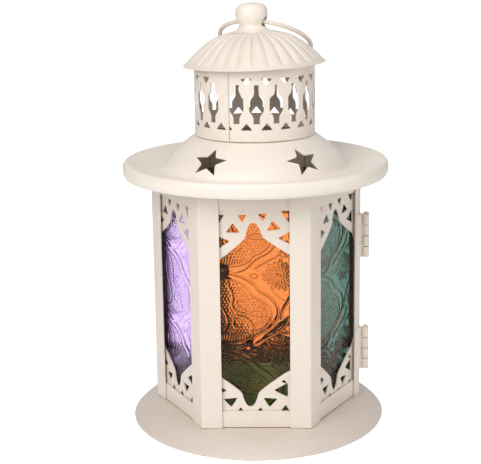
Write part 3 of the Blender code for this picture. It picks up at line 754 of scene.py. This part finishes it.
def rolled_pane(name, face, body, front, back):
    """Fine grid on the pressed face where it shows, and a flat back."""
    low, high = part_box("glass_pane_front")
    right_shown = SHOWN_BY_HINGES if face == "front_right" else SHOWN_HALF
    fine_x = np.arange(-SHOWN_HALF, right_shown + 1e-6, GRID)
    xs = np.concatenate([[-PANE_HALF, HIDDEN_COLUMNS[0]], fine_x, [HIDDEN_COLUMNS[1], PANE_HALF]])
    fine_z = np.arange(SHOWN_LOW, SHOWN_HIGH, GRID)
    zs = np.concatenate([[low.z], fine_z, [high.z]])
    grid_x, grid_z = np.meshgrid(xs, zs)
    shift_x, shift_z = PRINT_SHIFT[face]
    pattern_x, pattern_z = grid_x / MM - shift_x, (grid_z - FOOT_Z) / MM - shift_z
    relief = sample_tile(PRESSED, pattern_x, pattern_z)
    # Painted shade for the sides of the pressed lines, kept on the mesh as flank
    flank = sample_tile(SHADED, pattern_x, pattern_z)
    scale = RELIEF_SCALE * (SHALLOW if "left" in face else 1.0)
    proud = np.clip(relief * scale, 0, RELIEF_DEEP / MM)
    depth = front - RELIEF_DEEP + proud * MM
    cols, rows = len(xs), len(zs)
    front_face = np.stack([grid_x, grid_z, depth], -1).reshape(-1, 3)
    index = np.arange(rows * cols).reshape(rows, cols)
    quads = np.stack([index[:-1, :-1], index[:-1, 1:], index[1:, 1:], index[1:, :-1]], -1)
    quads = quads.reshape(-1, 4).tolist()
    border = [*index[0, :], *index[1:, -1], *index[-1, -2::-1], *index[-2:0:-1, 0]]
    start = rows * cols
    back_ring = front_face[border].copy()
    back_ring[:, 2] = back
    count = len(border)
    rim = [[border[(i + 1) % count], border[i], start + i, start + (i + 1) % count]
           for i in range(count)]
    # The flat back closes with one many-sided face
    closing = [start + i for i in range(count)][::-1]
    mesh = bpy.data.meshes.new(name)
    verts = np.concatenate([front_face, back_ring])
    turn = np.array(face_matrix(FACES[face]))[:3, :3]
    mesh.from_pydata((verts @ turn.T).tolist(), [], quads + rim + [closing])
    mesh.shade_smooth()
    mesh.set_sharp_from_angle(angle=math.radians(70))
    attribute = mesh.attributes.new("flank", "FLOAT", "POINT")
    attribute.data.foreach_set("value", np.concatenate([flank.ravel(), np.zeros(count)]))
    tint = GLASS_TINTS[face]
    shaded_line_color = tuple(LINE_SHADE.get(face, 0.75) * c ** 1.3 for c in tint)
    mesh.materials.append(coloured_glass("glass_" + face, tint, shaded_line_color))
    # The pane's edges get the dark ground finish: painted shade
    mesh.materials.append(SHADED_GROUND_EDGE)
    for wall in mesh.polygons[len(quads):len(quads) + count]:
        wall.material_index = 1
    obj = set_down(name, mesh)
    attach(obj, body)
    return obj


PANE_FRONT, PANE_BACK = -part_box("glass_pane_front")[0].y, -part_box("glass_pane_front")[1].y
for face_name in FACES:
    if face_name == DOOR_FACE:
        forward = RAIL_FRONT - FRET_FRONT
        pane = rolled_pane("pressed_pane_door", face_name, "door", PANE_FRONT + forward,
                           PANE_BACK + forward)
        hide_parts("door_glass_pane")
    else:
        pane = rolled_pane("pressed_pane_" + face_name, face_name, "lantern", PANE_FRONT,
                           PANE_BACK)
        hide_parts("glass_pane_" + face_name)


# ---------------------------------------------------------------- Door frame
# One blanked frame of sheet that carries the door's pane and fretwork.

keep_shape("door_frame", IVORY)


# ---------------------------------------------------------------- Butt hinges
# Two small steel butt hinges riveted on before painting.  Each has two leaves whose
# knuckles alternate round one pin; the enamel has run into the joints between them.

def joint(name):
    return next(one for one in frame["joints"] if one["name"] == name)


HINGE_X = joint("door_hinge")["pos_m"][0]
BARREL_RADIUS = 2.1 * MM
PIN_RADIUS = 0.85 * MM
KNUCKLES = 4
GAP = 0.3 * MM
FIXED_LEAF, DOOR_LEAF = 6.6 * MM, 10.0 * MM
KNUCKLE_GAP = 0.5 * MM
# The leaf thins out towards its free edge, where the enamel has filled the step
LEAF_TAPER, LEAF_THIN, LEAF_TIP = 2.0 * MM, 0.35 * MM, 0.12 * MM
GAP_REACH = 5 * MM


def cut(obj, cutter):
    """Cut one mesh out of another; apply_cuts makes it final."""
    cutter.hide_render = True
    modifier = obj.modifiers.new("cut", "BOOLEAN")
    modifier.operation = "DIFFERENCE"
    modifier.solver = "EXACT"
    modifier.object = cutter


def apply_cuts(obj):
    """Bake the live modifiers into the mesh and drop the cutters."""
    graph = bpy.context.evaluated_depsgraph_get()
    cutters = [m.object for m in obj.modifiers if m.type == "BOOLEAN"]
    solid = bpy.data.meshes.new_from_object(obj.evaluated_get(graph))
    obj.modifiers.clear()
    obj.data = solid
    for cutter in cutters:
        bpy.data.objects.remove(cutter)
    solid.shade_smooth()
    solid.set_sharp_from_angle(angle=math.radians(35))


def loose(name, bm):
    """A cutter: a mesh in no body that is gone once it has cut."""
    bmesh.ops.recalc_face_normals(bm, faces=bm.faces[:])
    return mesh_object(name, bm)


def hinge_leaf(node, body, angle, side, first_knuckle):
    low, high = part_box(node)
    barrel = (HINGE_X * math.sin(math.radians(30)), HINGE_X * math.cos(math.radians(30)))
    back, front = APOTHEM + 0.04 * MM, APOTHEM + GAP + SHEET
    corner = BODY_RADIUS / 2
    leaf_end = corner - (FIXED_LEAF if side > 0 else DOOR_LEAF)
    plate_end = corner - 0.6 * MM
    meet = math.degrees(math.asin((front - barrel[1]) / BARREL_RADIUS))
    outline = [(leaf_end, back), (corner + 0.2 * MM, back)]
    outline += arc(barrel, BARREL_RADIUS, -120, 180 - meet, 30)
    outline += [(corner - 1.5 * MM, front), (leaf_end + LEAF_TAPER, back + LEAF_THIN),
                (leaf_end, back + LEAF_TIP)]
    bore = arc(barrel, PIN_RADIUS + GAP, 0, 345, 23)

    def on_side(points):
        return [on_face(angle, side * along, out) for along, out in points]

    leaf = piece(node + "_rolled", plate(on_side(outline), [on_side(bore)], low.z, high.z),
                 IVORY, body, [node])
    knuckle = (high.z - low.z) / KNUCKLES
    for i in range(1 - first_knuckle, KNUCKLES, 2):
        bottom = low.z + i * knuckle - (KNUCKLE_GAP / 2 if i else GAP)
        top = low.z + (i + 1) * knuckle + (KNUCKLE_GAP / 2 if i < KNUCKLES - 1 else GAP)
        inner, outer = back - 2 * SHEET, barrel[1] + GAP_REACH
        far = barrel[0] + GAP_REACH
        block = [(plate_end, inner), (far, inner), (far, outer), (plate_end, outer)]
        cut(leaf, loose("knuckle_gap", plate(on_side(block), [], bottom, top)))
    apply_cuts(leaf)
    soften(leaf, 0.07 * MM, angle=50)


def hinge_pin(node):
    low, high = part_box(node)
    head = high.z - 1.1 * MM
    outline = [(0, low.z), (PIN_RADIUS, low.z), (PIN_RADIUS, head), (1.7 * MM, head),
               *arc((0.6 * MM, head), 1.1 * MM, 0, 80, 8), (0, high.z)]
    at = Matrix.Translation((HINGE_X, 0, 0))
    piece(node + "_headed", spun(outline, 32, closed=False), IVORY, "lantern", [node],
          matrix=at)


for which in ("upper", "lower"):
    hinge_leaf(which + "_hinge_fixed_leaf", "lantern", FACES["front_right"], 1, 0)
    hinge_leaf(which + "_hinge_door_leaf", "door", FACES[DOOR_FACE], -1, 1)
    hinge_pin(which + "_hinge_pin")


# ---------------------------------------------------------------- Latch
# A tab of sheet that turns on a loose rivet in the door's free stile.

keep_shape("latch_tab", IVORY, 0.15 * MM)
keep_shape("latch_rivet", STEEL, 0.08 * MM)


# ---------------------------------------------------------------- Roof
# One disc of sheet spun over a former: crown, valley and a wide brim whose edge is
# turned down.  Five stars are punched through the crown before it is painted.

ROOF_SHEET = 0.9 * MM
STAR_AZIMUTHS = (-121.7, -54.0, 19.1, 92.2, 165.3)
STAR_PLACE = (48.1 * MM, FOOT_Z + 156.2 * MM)
STAR_SLOPE = 46.0
STAR_WIDE, STAR_TALL, STAR_INNER = 11.4 * MM, 9.8 * MM, 0.44
STAR_TURNS = {-54.0: 7.0, 19.1: -3.0, 92.2: 4.0}


def above_foot(points):
    """Outline points in mm above the body's foot, as (radius, height) in metres."""
    return [(r * MM, FOOT_Z + z * MM) for r, z in points]


def star_cutter(azimuth):
    corners = []
    for i in range(10):
        reach = STAR_INNER if i % 2 else 1.0
        turn = math.radians(90 + 36 * i + STAR_TURNS.get(azimuth, 0.0))
        corners.append((STAR_WIDE * reach * math.cos(turn), STAR_TALL * reach * math.sin(turn)))
    turn, slope = math.radians(azimuth), math.radians(STAR_SLOPE)
    outward = Vector((math.cos(turn), math.sin(turn), 0))
    across = Vector((-math.sin(turn), math.cos(turn), 0))
    up = Vector((0, 0, 1)) * math.sin(slope) - outward * math.cos(slope)
    origin = outward * STAR_PLACE[0] + Vector((0, 0, STAR_PLACE[1]))
    place = placement(across, up, across.cross(up), origin)
    punch = plate(rounded(corners, 0.5 * MM, 2), [], -5 * MM, 5 * MM)
    return loose("star", moved(punch, place))


shelf = above_foot([(33.5, 166.5), (35.2, 166.5)])
crown = smooth_curve(above_foot([(36.3, 166.45), (38.0, 165.6), (41.5, 163.0), (45.5, 159.8),
                                 (49.3, 156.2), (52.3, 152.6), (54.0, 150.0), (55.2, 148.4),
                                 (57.2, 147.3), (60.0, 147.1), (64.0, 147.5), (68.0, 148.3),
                                 (72.0, 149.5), (75.4, 150.9), (77.5, 151.5), (79.1, 150.9),
                                 (80.0, 149.2), (80.2, 146.8), (79.8, 144.4), (79.0, 142.9)]), 5)
# The roof wears the paler copy of the enamel: painted highlight
hat = piece("roof_spun", spun(sheet_outline([*shelf, *crown], ROOF_SHEET)), LIT_IVORY,
            "lantern", ["roof"])
for star_azimuth in STAR_AZIMUTHS:
    cut(hat, star_cutter(star_azimuth))
apply_cuts(hat)


# ---------------------------------------------------------------- Gallery
# A long strip, pierced by a press with bottle shapes and triangles, rolled into a
# tube, lapped and spot welded.  It stands on the roof's crown.

gallery_low, gallery_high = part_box("gallery")
GALLERY_RADIUS = gallery_high.x
GALLERY_PITCH = math.radians(18.62)
FIRST_BOTTLE = math.radians(-105.82)
BOTTLES = 19
LAP_AZIMUTH = math.radians(-113.4)
LAP_WIDE = math.radians(13.0)
LAP_STEP = SHEET / 2
FOOT_LIFT = 0.55 * MM
FOOT_LIFT_TURN = 0.35
SEAM_OFFSET = 0.3 * MM


def bottle_outline(kind):
    """Half a bottle, from its foot to its lip: (half width, height above the foot) in mm."""
    body = [(2.0, 177.5), (1.8, 178.4), (1.75, 180.4), (2.1, 181.9), (3.0, 183.2), (3.9, 184.2),
            (4.2, 185.3), (4.2, 188.2)]
    if kind == 0:
        neck = [(3.8, 188.5), (3.8, 189.2), (4.2, 189.6), (4.15, 191.4), (3.5, 192.8),
                (2.2, 193.8), (1.4, 194.3), (1.3, 196.8), (1.35, 199.9)]
    elif kind == 1:
        neck = [(4.2, 192.2), (3.8, 193.2), (2.7, 193.9), (2.0, 195.4), (1.4, 197.2),
                (1.5, 198.6), (2.1, 199.9)]
    else:
        neck = [(4.15, 191.2), (3.6, 192.6), (2.4, 193.7), (1.35, 194.4), (0.95, 196.4),
                (0.9, 199.9)]
    return body + neck


def radial_cutter(outline, azimuth, inside=4 * MM):
    """A prism through the tube's wall; outline is (sideways, height) in metres."""
    prism = plate(outline, [], GALLERY_RADIUS - inside, GALLERY_RADIUS + 4 * MM)
    return moved(prism, face_matrix(math.degrees(azimuth)))


BAR_UP = [(-3.5, 173.8), (3.5, 173.8), (0.0, 178.0)]
BAR_DOWN = [(-3.4, 203.5), (0.0, 199.4), (3.4, 203.5)]
HALF_BAR = [(1.3, 173.8), (3.5, 173.8), (1.3, 176.6)]


def gallery_cutter(shapes):
    """Punches at (outline in mm, azimuth), each reaching some way in from the outer face."""
    together = bmesh.new()
    for outline, azimuth, inside in shapes:
        one = radial_cutter(rounded(above_foot(outline), 0.5 * MM, 2), azimuth, inside)
        mesh = bpy.data.meshes.new("punch")
        one.to_mesh(mesh)
        one.free()
        together.from_mesh(mesh)
        bpy.data.meshes.remove(mesh)
    return loose("gallery_holes", together)


def bottle_punch(cell, inside):
    half = bottle_outline((1, 0, 2)[cell % 3])
    outline = [*half, *[(-x, z) for x, z in reversed(half)]]
    return outline, FIRST_BOTTLE + cell * GALLERY_PITCH, inside


THROUGH, MARK = 4 * MM, LAP_STEP * 0.95
punches = [bottle_punch(i, THROUGH) for i in range(BOTTLES)]
for i in range(1, BOTTLES):
    halfway = FIRST_BOTTLE + (i - 0.5) * GALLERY_PITCH
    punches += [(BAR_UP, halfway, THROUGH), (BAR_DOWN, halfway, THROUGH)]
# Under the outer end only part of the first cell shows; the last cell is cut short
before, after = FIRST_BOTTLE - GALLERY_PITCH / 2, FIRST_BOTTLE + (BOTTLES - 0.5) * GALLERY_PITCH
punches += [(HALF_BAR, before, THROUGH), (BAR_UP, after, THROUGH)]
marks = [bottle_punch(BOTTLES, MARK), (BAR_DOWN, after, MARK)]
SEAM = [(-0.2, 167.5), (0.2, 167.5), (0.2, 208.5), (-0.2, 208.5)]


def rolled_tube():
    """Tube wall; the strip's outer end stands half a sheet proud, left of the seam."""
    wall = sheet_outline([(GALLERY_RADIUS, gallery_high.z), (GALLERY_RADIUS, gallery_low.z)],
                         SHEET)
    bm = spun(wall, 360)
    for vert in bm.verts:
        turn = (LAP_AZIMUTH - math.atan2(vert.co.y, vert.co.x) + math.pi) % (2 * math.pi) - math.pi
        radius = math.hypot(vert.co.x, vert.co.y)
        rise = max(0.0, 1 - turn / (2 * LAP_WIDE)) if turn >= 0 else 0.0
        swell = 1 - LAP_STEP * (1 - rise) / radius
        vert.co.x *= swell
        vert.co.y *= swell
        if vert.co.z < gallery_low.z + 1 * MM:
            # The foot stands open on the roof's shoulder, most at the front left
            vert.co.z += FOOT_LIFT * max(0.0, math.cos(turn + FOOT_LIFT_TURN)) ** 0.7
    return bm


# The gallery wears the in-between copy of the enamel: painted light
tube = piece("gallery_rolled", rolled_tube(), HALF_LIT_IVORY, "lantern", ["gallery"])
cut(tube, gallery_cutter(punches))
cut(tube, gallery_cutter(marks))
cut(tube, gallery_cutter([(SEAM, LAP_AZIMUTH + SEAM_OFFSET / GALLERY_RADIUS, THROUGH)]))
apply_cuts(tube)


# ---------------------------------------------------------------- Cap
# A dome pressed in a fluted die, with a plain lip.  It was fixed a little crooked.

CAP_TILT = math.radians(-1.7)
CAP_SEAT = FOOT_Z + 210.0 * MM
FLUTES = 28
FLUTE_DEPTH = 1.2 * MM
cap_matrix = Matrix.Translation((0, 0, CAP_SEAT)) @ Matrix.Rotation(CAP_TILT, 4, "Y") \
    @ Matrix.Translation((0, 0, -CAP_SEAT))


def fluted_dome():
    line = smooth_curve(above_foot([(5.0, 228.6), (8.5, 228.3), (12.4, 227.6), (17.0, 226.5),
                                    (21.9, 224.9), (26.1, 222.7), (29.7, 220.3), (32.8, 217.9),
                                    (35.4, 215.5), (38.2, 213.0), (40.2, 211.0), (41.6, 209.7),
                                    (42.4, 209.2)]), 4)
    bm = spun(sheet_outline(line, SHEET), FLUTES * 16)
    for vert in bm.verts:
        radius = math.hypot(vert.co.x, vert.co.y)
        rise = min(1, max(0, (radius / MM - 11.5) / 11)) * min(1, max(0, (41.4 - radius / MM) / 3))
        turn = math.atan2(vert.co.y, vert.co.x) * FLUTES / (2 * math.pi)
        swell = abs(math.sin(math.pi * turn)) ** 0.62
        vert.co.z += FLUTE_DEPTH * rise * (swell - 0.72)
        grow = 1 + 0.35 * FLUTE_DEPTH * rise * (swell - 0.72) / max(radius, MM)
        vert.co.x *= grow
        vert.co.y *= grow
    return bm


piece("dome_cap_fluted", fluted_dome(), IVORY, "lantern", ["dome_cap"], sharp=60,
      matrix=cap_matrix)


# ---------------------------------------------------------------- Knob
# A hollow turned knob with a flared foot, brazed to the cap.  Two holes let the ring
# through.

ring_joint = joint("ring_swing")
RING_PIVOT = Vector(ring_joint["pos_m"])
RING_AXIS = Vector(ring_joint["axis"])
KNOB_OFFSET = -0.5 * MM
KNOB_HOLE = 3.25 * MM

knob_outer = smooth_curve(above_foot([(0, 244.5), (3.0, 244.45), (5.4, 244.1), (7.4, 243.3),
                                      (8.9, 241.9), (9.5, 239.6), (9.5, 236.9), (9.0, 234.9),
                                      (8.1, 233.2), (7.6, 231.9), (7.8, 230.8), (8.6, 229.6),
                                      (10.0, 228.6), (11.8, 227.95), (13.4, 227.5)]), 4)
knob_inner = smooth_curve(above_foot([(12.6, 227.62), (9.4, 228.3), (7.4, 229.6), (6.8, 231.7),
                                      (7.3, 233.4), (8.2, 235.1), (8.7, 237.0), (8.7, 239.4),
                                      (8.1, 241.4), (6.8, 242.6), (4.9, 243.4), (0, 243.7)]), 4)
# The knob wears the paler copy of the enamel: painted highlight
knob = piece("finial_knob_turned", spun([*knob_outer, *knob_inner], 112, closed=False),
             LIT_IVORY, "lantern", ["finial_knob"],
             matrix=cap_matrix @ Matrix.Translation((KNOB_OFFSET, 0, 0)))
bore_matrix = RING_AXIS.to_track_quat("Z", "Y").to_matrix().to_4x4()
bore_matrix.translation = RING_PIVOT
drill = plate(arc((0, 0), KNOB_HOLE, 0, 352.5, 47), [], -15 * MM, 15 * MM)
cut(knob, loose("knob_bore", moved(drill, bore_matrix)))
apply_cuts(knob)


# ---------------------------------------------------------------- Carrying ring
# 2.8 mm wire bent round and butted inside the knob, dipped in the same enamel.

RING_WIRE = 1.4 * MM
RING_OFF_CENTRE = 8.0 * MM
ring_center = Vector([(a + b) / 2 for a, b in zip(*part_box("ring_handle"))])


def wire_ring():
    """The bent ring, a little out of flat, and where it hangs on its pivot."""
    to_center = ring_center - RING_PIVOT
    lie = (to_center - RING_AXIS * to_center.dot(RING_AXIS)).normalized()
    reach = to_center.dot(lie)
    radius = math.hypot(reach, RING_OFF_CENTRE)
    bm = spun(arc((radius, 0), RING_WIRE, 0, 342, 19), 160)
    for vert in bm.verts:
        turn = math.atan2(vert.co.y, vert.co.x)
        vert.co.z += 0.25 * MM * math.sin(2 * turn + 0.7)
    return bm, placement(RING_AXIS, lie, RING_AXIS.cross(lie), RING_PIVOT + lie * reach)


ring_mesh, ring_place = wire_ring()
piece("ring_handle_bent", ring_mesh, IVORY, "ring", ["ring_handle"], matrix=ring_place)


# ---------------------------------------------------------------- Floor, light and camera
# A seamless white sweep, one broad soft light from the front left, weaker ones from the
# front, the right and above, and a dim room all round.

def matte(name, color, bounce, seen):
    """White paper that looks evenly lit, yet throws only a little light back."""
    mat, tree, shader = new_material(name)
    ray = tree.add("LightPath").outputs
    looked_at = tree.calc("MAXIMUM", ray["Is Camera Ray"], ray["Is Transmission Ray"])
    bounces = tree.calc("ADD", ray["Diffuse Depth"], ray["Glossy Depth"])
    first = tree.calc("SUBTRACT", 1.0, bounces, clamp=True)
    direct = tree.calc("MULTIPLY", looked_at, first)
    tree.feed(shader, Base_Color=(*color, 1), Roughness=0.9, Emission_Color=(1.0, 1.0, 1.0, 1),
              Emission_Strength=tree.ranged(direct, To_Min=bounce, To_Max=seen))
    return mat


def sweep():
    """Floor that curves up into a wall behind the lantern."""
    profile = [(-1.2, 0.0), (0.9, 0.0), *arc((0.9, 0.5), 0.5, -90, 0, 16), (1.4, 1.8)]
    bm = bmesh.new()
    rows = [[bm.verts.new((x, y, z - 0.3 * MM)) for y, z in profile] for x in (-1.8, 1.8)]
    for i in range(len(profile) - 1):
        bm.faces.new((rows[0][i], rows[1][i], rows[1][i + 1], rows[0][i + 1]))
    obj = mesh_object("sweep", bm)
    obj.data.shade_smooth()
    obj.data.materials.append(matte("white_sweep", (0.82, 0.82, 0.82), 0.19, 0.88))


LAMP_AIM = Vector((0, 0, 0.12))


def softbox(name, place, size, power, color=(1, 1, 1)):
    lamp = bpy.data.lights.new(name, "AREA")
    lamp.shape = "RECTANGLE"
    lamp.size = size
    lamp.size_y = size
    lamp.energy = power
    lamp.color = color
    obj = set_down(name, lamp)
    obj.location = place
    obj.rotation_euler = (LAMP_AIM - Vector(place)).to_track_quat("-Z", "Y").to_euler()


sweep()
WARM = (1.0, 0.985, 0.965)
softbox("key_light", (-0.60, -0.95, 0.80), 0.8, 10.7, WARM)
softbox("front_light", (0.05, -1.20, 0.45), 0.8, 1.7, WARM)
softbox("right_light", (1.05, -0.25, 0.40), 0.8, 3.1)
softbox("high_light", (0.15, -0.80, 1.15), 0.8, 4.2, WARM)
softbox("top_light", (0.0, 0.05, 1.20), 0.9, 3.0)

world = bpy.data.worlds.new("studio_room")
world.use_nodes = True
bpy.context.scene.world = world
room = ShaderTree(world.node_tree)
direction = room.add("TexCoord").outputs["Generated"]
ahead = room.add("SeparateXYZ", Vector=direction).outputs["Y"]
dim = room.ranged(ahead, From_Min=-0.6, From_Max=0.6, To_Min=0.03, To_Max=0.06)
room.feed(world.node_tree.nodes["Background"], Strength=dim, Color=(1.0, 1.0, 1.0, 1))

CAMERA_AZIMUTH = math.radians(1.282)
CAMERA_ELEVATION = math.radians(12.258)
CAMERA_ROLL = math.radians(-0.686)
CAMERA_DISTANCE = 0.7183
AIM = Vector((0, 0, FOOT_Z + 0.128))
backward = Vector((math.sin(CAMERA_AZIMUTH) * math.cos(CAMERA_ELEVATION),
                   -math.cos(CAMERA_AZIMUTH) * math.cos(CAMERA_ELEVATION),
                   math.sin(CAMERA_ELEVATION)))
right = (-backward).cross(Vector((0, 0, 1))).normalized()
upward = right.cross(-backward)
camera_data = bpy.data.cameras.new("camera")
camera_data.lens = 88.15
camera_data.sensor_width = 36.0
camera_data.shift_x = -0.0320
camera_data.shift_y = -0.0756
camera_data.clip_start = 0.05
camera = set_down("camera", camera_data)
camera.matrix_world = placement(right * math.cos(CAMERA_ROLL) + upward * math.sin(CAMERA_ROLL),
                                upward * math.cos(CAMERA_ROLL) - right * math.sin(CAMERA_ROLL),
                                backward, AIM + backward * CAMERA_DISTANCE)
bpy.context.scene.camera = camera
bpy.context.scene.view_settings.view_transform = "Standard"
